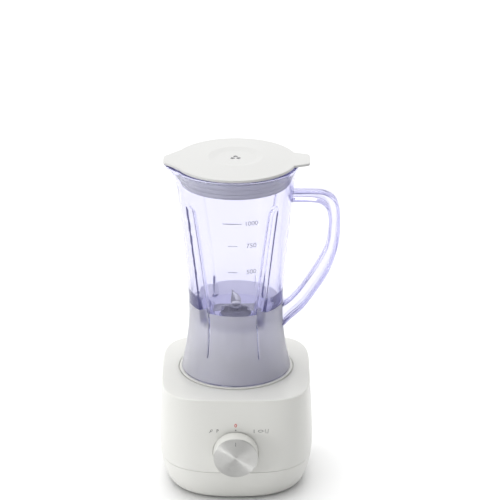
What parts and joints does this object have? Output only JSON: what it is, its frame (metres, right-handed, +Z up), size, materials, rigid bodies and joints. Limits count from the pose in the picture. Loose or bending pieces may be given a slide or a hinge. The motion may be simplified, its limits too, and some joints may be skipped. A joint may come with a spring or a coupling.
{
  "type": "countertop blender",
  "caption": "Countertop blender: motor base with control knob and twist-lock seat, clear jug with handle and blade unit, and press-in lid.",
  "frame": {"origin": "on the drive axis, on the surface the feet stand on; the middle of the base's underside is a low pad 1.5 mm above it", "axes": "+Z up the drive axis, +X towards the jug's handle, -Y towards the knob"},
  "size_m": [0.1931, 0.1848, 0.3613],
  "materials": {
    "white_plastic": "fine satin",
    "inner_plastic": "moulded",
    "dark_plastic": "moulded",
    "grey_rubber": "matte",
    "lid_rubber": "matte",
    "clear_plastic": "clear, frosted below the waist",
    "frosted_plastic": "translucent",
    "steel": "brushed",
    "lamination": "stacked sheet",
    "copper": "enamelled wire",
    "carbon": "sintered"
  },
  "bodies": {
    "base": {"housing": "white_plastic", "bottom_cover": "white_plastic", "jug_seat": "white_plastic", "shaft_seal": "grey_rubber", "foot_front_left": "grey_rubber", "foot_front_right": "grey_rubber", "foot_rear_left": "grey_rubber", "foot_rear_right": "grey_rubber", "base_screw_front_left": "steel", "base_screw_front_right": "steel", "base_screw_rear_left": "steel", "base_screw_rear_right": "steel", "cord_gland": "grey_rubber", "rotary_switch": "inner_plastic", "interlock_spring": "steel", "interlock_switch": "dark_plastic", "suppressor_capacitor": "inner_plastic", "stator_core": "lamination", "field_coil_left": "copper", "field_coil_right": "copper", "upper_bracket": "steel", "upper_bearing": "steel", "lower_bracket": "inner_plastic", "lower_bearing": "steel", "motor_bolt_left": "steel", "motor_bolt_right": "steel", "brush_holder_left": "inner_plastic", "brush_holder_right": "inner_plastic", "carbon_brush_left": "carbon", "carbon_brush_right": "carbon", "motor_damper_front_left": "grey_rubber", "motor_damper_front_right": "grey_rubber", "motor_damper_rear_left": "grey_rubber", "motor_damper_rear_right": "grey_rubber"},
    "motor": {"motor_shaft": "steel", "armature_core": "lamination", "upper_winding": "copper", "lower_winding": "copper", "commutator": "copper", "cooling_fan": "inner_plastic", "coupler_skirt": "white_plastic", "drive_coupler": "frosted_plastic"},
    "knob": {"knob_body": "white_plastic", "knob_face": "steel", "knob_spindle": "steel"},
    "interlock": {"interlock_pin": "inner_plastic"},
    "blade_unit": {"blade_bushing": "inner_plastic", "floor_gasket": "grey_rubber", "bushing_nut": "inner_plastic"},
    "blades": {"blade_shaft": "steel", "lower_blade": "steel", "upper_blade": "steel", "blade_cap": "steel", "jug_coupler": "frosted_plastic"},
    "jug": {"jug": "clear_plastic"},
    "lid": {"lid": "white_plastic", "lid_gasket": "lid_rubber"}
  },
  "joints": [
    {"name": "jug_lift", "type": "slide", "parent": "base", "child": "blade_unit", "axis": [0, 0, 1], "range_m": [0, 0.08]},
    {"name": "jug_twist", "type": "hinge", "parent": "blade_unit", "child": "jug", "pos_m": [0, 0, 0.1216], "axis": [0, 0, 1], "range_deg": [-25, 0]},
    {"name": "lid_lift", "type": "slide", "parent": "jug", "child": "lid", "axis": [0, 0, 1], "range_m": [0, 0.073]},
    {"name": "motor_spin", "type": "hinge", "parent": "base", "child": "motor", "pos_m": [0, 0, 0.06], "axis": [0, 0, 1], "continuous": true},
    {"name": "blade_spin", "type": "hinge", "parent": "blade_unit", "child": "blades", "pos_m": [0, 0, 0.18], "axis": [0, 0, 1], "continuous": true},
    {"name": "knob_turn", "type": "hinge", "parent": "base", "child": "knob", "pos_m": [0, -0.09351, 0.062], "axis": [0, 0.9969, 0.0785], "range_deg": [-40, 40]},
    {"name": "interlock_press", "type": "slide", "parent": "base", "child": "interlock", "axis": [0, 0, -1], "range_m": [0, 0.003], "stiffness_N_per_m": 300, "springref_m": -0.004, "deforming": ["interlock_spring"]}
  ],
  "couplings": [
    {"joint": "blade_spin", "follows": "motor_spin", "ratio": 1}
  ]
}
